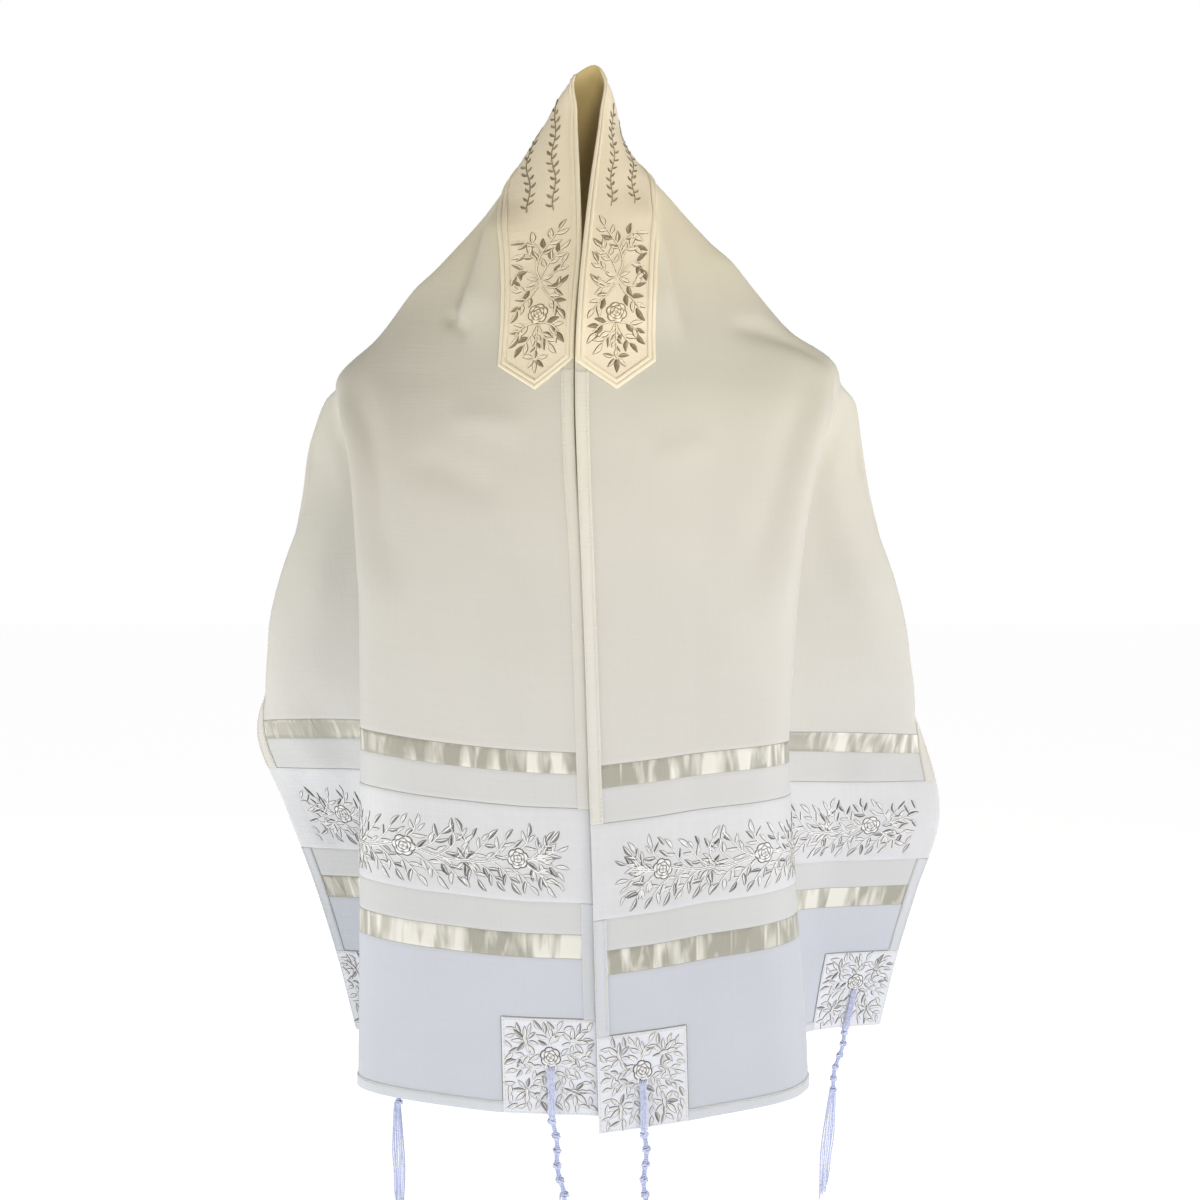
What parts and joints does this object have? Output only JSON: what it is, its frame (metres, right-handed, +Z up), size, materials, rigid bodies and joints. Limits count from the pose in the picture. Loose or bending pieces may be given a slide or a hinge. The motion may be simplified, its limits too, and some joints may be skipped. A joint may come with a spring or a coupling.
{
  "type": "tallit prayer shawl hung by its collar edge",
  "caption": "Hollow hanging prayer shawl with a pointed hood, collar band, striped ends, corner squares and knotted corner tassels.",
  "frame": {"origin": "the held point, the middle of the collar edge at the peak of the hood", "axes": "+Z up, -Y to the front where the collar edges meet, +X to the side of the front panel that lies over the other"},
  "size_m": [0.7276, 0.2829, 1.1775],
  "materials": {
    "cream_wool": "fine matte wool and viscose cloth, warm cream",
    "white_wool": "fine matte wool and viscose cloth, cool white",
    "satin": "champagne satin weave ribbon, strong sheen",
    "silk": "dupion silk with slubs and a soft sheen, embroidered in silver and cream thread",
    "collar_silk": "ivory dupion silk with a soft sheen, embroidered",
    "cord": "twisted white wool cord"
  },
  "bodies": {
    "root": {"atarah": "collar_silk", "atarah_border": "collar_silk", "body_panel_left": "cream_wool", "body_panel_right": "cream_wool", "bottom_hem_left": "white_wool", "bottom_hem_right": "white_wool", "collar_hem_left": "cream_wool", "collar_hem_right": "cream_wool", "corner_square_front_left": "silk", "corner_square_front_right": "silk", "corner_square_wing_left": "silk", "corner_square_wing_right": "silk", "embroidered_band_left": "silk", "embroidered_band_right": "silk", "end_panel_left": "white_wool", "end_panel_right": "white_wool", "far_hem": "cream_wool", "front_hem_left": "white_wool", "front_hem_right": "white_wool", "hood_panel": "cream_wool", "plain_lower_left": "silk", "plain_lower_right": "silk", "plain_upper_left": "silk", "plain_upper_right": "silk", "satin_lower_left": "satin", "satin_lower_right": "satin", "satin_upper_left": "satin", "satin_upper_right": "satin", "shoulder_panel_left": "cream_wool", "shoulder_panel_right": "cream_wool", "tzitzit_front_left": "cord", "tzitzit_front_right": "cord", "tzitzit_wing_left": "cord", "tzitzit_wing_right": "cord", "wing_hem_left": "white_wool", "wing_hem_right": "white_wool"}
  },
  "joints": []
}
